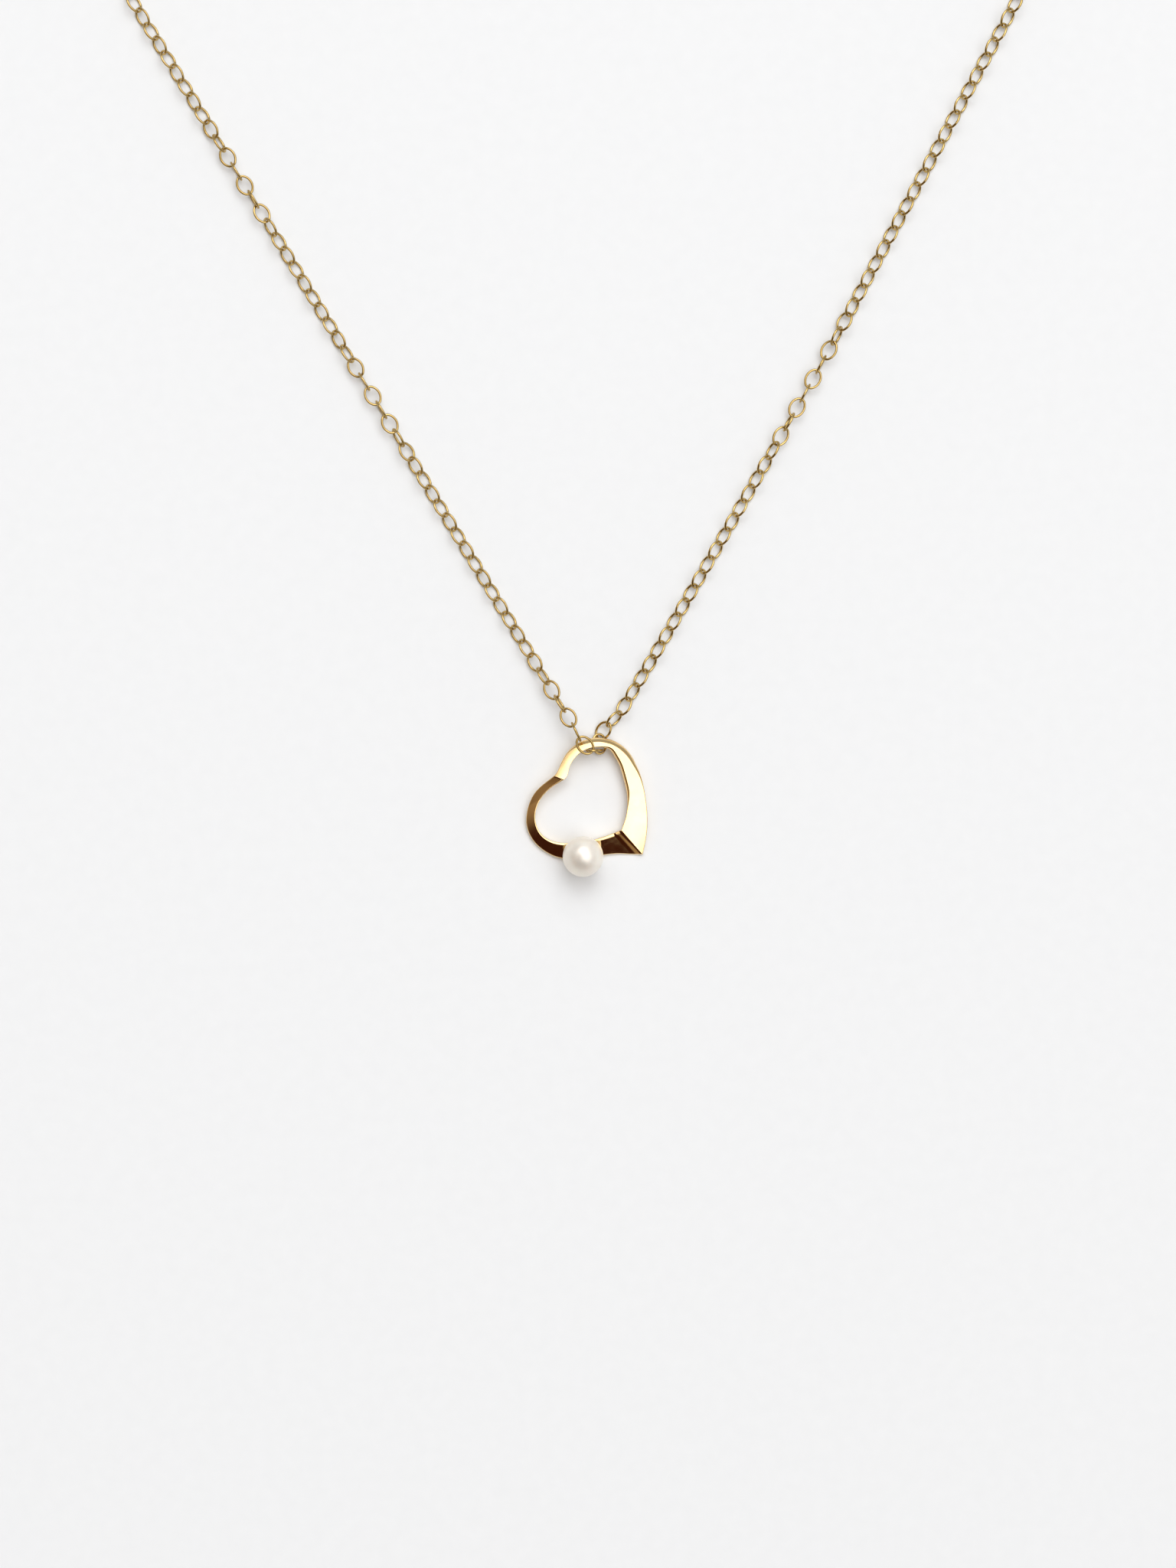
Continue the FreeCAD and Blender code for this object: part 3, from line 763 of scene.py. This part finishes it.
def make_floor():
    """A plain pale surface."""
    corners = [(-1, -1), (1, -1), (1, 1), (-1, 1)]
    mesh = bpy.data.meshes.new("floor")
    mesh.from_pydata([(FLOOR_HALF * x, FLOOR_HALF * y, 0) for x, y in corners], [], [(0, 1, 2, 3)])
    material = bpy.data.materials.new("floor_white")
    tree, shader = nodes_of(material)
    coordinates = tree.nodes.new("ShaderNodeTexCoord")
    grain = noise(tree, coordinates, GRAIN_SCALE)
    tree.links.new(ramp(tree, grain, FLOOR_COLOURS), shader.inputs["Base Color"])
    set_inputs(shader, FLOOR_SHADER)
    mesh.materials.append(material)
    floor = bpy.data.objects.new("floor", mesh)
    bpy.context.scene.collection.objects.link(floor)


def math_node(tree, operation, a, b=None, c=None):
    """A math node on values or sockets."""
    node = tree.nodes.new("ShaderNodeMath")
    node.operation = operation
    for i, value in enumerate((a, b, c)):
        if value is None:
            continue
        if isinstance(value, (int, float)):
            node.inputs[i].default_value = value
        else:
            tree.links.new(value, node.inputs[i])
    return node.outputs[0]


def rise(tree, value, low, high):
    """Smooth rise from zero at low to one at high."""
    node = tree.nodes.new("ShaderNodeMapRange")
    node.interpolation_type = "SMOOTHSTEP"
    set_inputs(node, {"From Min": low, "From Max": high})
    tree.links.new(value, node.inputs["Value"])
    return node.outputs["Result"]


def fall(tree, value, low, high):
    """Smooth fall from one at low to zero at high."""
    return math_node(tree, "SUBTRACT", 1.0, rise(tree, value, low, high))


def distance(tree, a, b):
    """Length of the pair of values."""
    return math_node(tree, "SQRT", math_node(tree, "ADD", math_node(tree, "POWER", a, 2.0),
                                             math_node(tree, "POWER", b, 2.0)))


def mix(tree, factor, a, b):
    """A colour mix of two sockets or colours."""
    node = tree.nodes.new("ShaderNodeMix")
    node.data_type = "RGBA"
    tree.links.new(factor, node.inputs[0])
    for socket, value in ((node.inputs[6], a), (node.inputs[7], b)):
        if isinstance(value, tuple):
            socket.default_value = (*value, 1)
        else:
            tree.links.new(value, socket)
    return node.outputs[2]


# The room is painted on a level plane overhead, one unit up. Places on it are (right, towards the
# top of the picture), and each pair of edges says where a change starts and ends.
LOWEST_SLOPE = 0.03
DIM_SIDE = (-0.6, -0.8)
DIM_EDGE = (0.13, 0.30)
DIM_REACH = (2.6, 5.0)
PATCH_CENTRE = (-0.38, 0.10)
PATCH_EDGE = (0.27, 0.36)
CORE_CENTRE = (-0.05, -0.95)
CORE_SIZE = (0.75, 0.95)
CORE_EDGE = (0.75, 1.3)
BRIGHT_EDGE = (0.35, 1.5)
HORIZON_EDGE = (4.0, 9.0)
ROOM_STRENGTH = 1.21
BRIGHT = (2.15, 2.15, 2.15)
MIDDLE = (0.34, 0.34, 0.34)
HORIZON = (0.76, 0.76, 0.76)
SHADE = (0.26, 0.19, 0.13)
DARK = (0.035, 0.010, 0.006)


def make_room():
    """A soft white room: bright overhead, with a dim side that gives the metal its contrast."""
    world = bpy.data.worlds.new("studio")
    bpy.context.scene.world = world
    world.use_nodes = True
    tree = world.node_tree
    background = tree.nodes["Background"]
    coordinates = tree.nodes.new("ShaderNodeTexCoord")
    split = tree.nodes.new("ShaderNodeSeparateXYZ")
    tree.links.new(coordinates.outputs["Generated"], split.inputs[0])
    x, y, z = split.outputs
    height = math_node(tree, "MAXIMUM", z, LOWEST_SLOPE)
    px = math_node(tree, "DIVIDE", x, height)
    py = math_node(tree, "DIVIDE", y, height)
    away = math_node(tree, "MULTIPLY_ADD", py, DIM_SIDE[1],
                     math_node(tree, "MULTIPLY", px, DIM_SIDE[0]))
    reach = distance(tree, px, py)
    side = math_node(tree, "MULTIPLY", rise(tree, away, *DIM_EDGE), fall(tree, reach, *DIM_REACH))
    patch = distance(tree, math_node(tree, "SUBTRACT", px, PATCH_CENTRE[0]),
                     math_node(tree, "SUBTRACT", py, PATCH_CENTRE[1]))
    side = math_node(tree, "MAXIMUM", side, fall(tree, patch, *PATCH_EDGE))
    core_x = math_node(tree, "SUBTRACT", px, CORE_CENTRE[0])
    core_y = math_node(tree, "SUBTRACT", py, CORE_CENTRE[1])
    core = distance(tree, math_node(tree, "DIVIDE", core_x, CORE_SIZE[0]),
                    math_node(tree, "DIVIDE", core_y, CORE_SIZE[1]))
    wall = mix(tree, rise(tree, reach, *HORIZON_EDGE), MIDDLE, HORIZON)
    pale = mix(tree, rise(tree, reach, *BRIGHT_EDGE), BRIGHT, wall)
    dim = mix(tree, fall(tree, core, *CORE_EDGE), SHADE, DARK)
    tree.links.new(mix(tree, side, pale, dim), background.inputs["Color"])
    background.inputs["Strength"].default_value = ROOM_STRENGTH


LAMP_AT = Vector((0.08, 0.38, 0.60))
LAMP_AIM = Vector((0.0, -0.05, 0.0))
LAMP_SIZE = 0.5
LAMP_POWER = 1.2


def make_lamp():
    """One large soft lamp beyond the top of the picture."""
    light = bpy.data.lights.new("soft_lamp", "AREA")
    light.shape = "DISK"
    light.size = LAMP_SIZE
    light.energy = LAMP_POWER
    lamp = bpy.data.objects.new("soft_lamp", light)
    lamp.location = LAMP_AT
    lamp.rotation_euler = (LAMP_AIM - LAMP_AT).to_track_quat("-Z", "Y").to_euler()
    bpy.context.scene.collection.objects.link(lamp)


SENSOR = 36.0
CAMERA_AT = (0.001967, -0.08512, 0.42)
PICTURE_LEVEL = 0.001
PICTURE_HEIGHT = 0.1546


def make_camera():
    """Straight above the heart; the picture is 154.6 mm high 1 mm above the surface."""
    camera = bpy.data.cameras.new("camera")
    camera.lens = SENSOR * (CAMERA_AT[2] - PICTURE_LEVEL) / PICTURE_HEIGHT
    camera.clip_start = 0.01
    camera.clip_end = 20
    eye = bpy.data.objects.new("camera", camera)
    eye.location = CAMERA_AT
    bpy.context.scene.collection.objects.link(eye)
    bpy.context.scene.camera = eye
    bpy.context.scene.view_settings.view_transform = "Standard"


finish_nodes()
make_spring()
make_heart()
make_pearl()
make_hanger()
make_chain("left", arm_links(-1, LEFT_LEAD, LEFT_HEADINGS, LEFT_ROLLS, LEFT_HEIGHTS))
make_chain("right", arm_links(1, RIGHT_LEAD, RIGHT_HEADINGS, RIGHT_ROLLS, RIGHT_HEIGHTS))
make_floor()
make_room()
make_lamp()
make_camera()
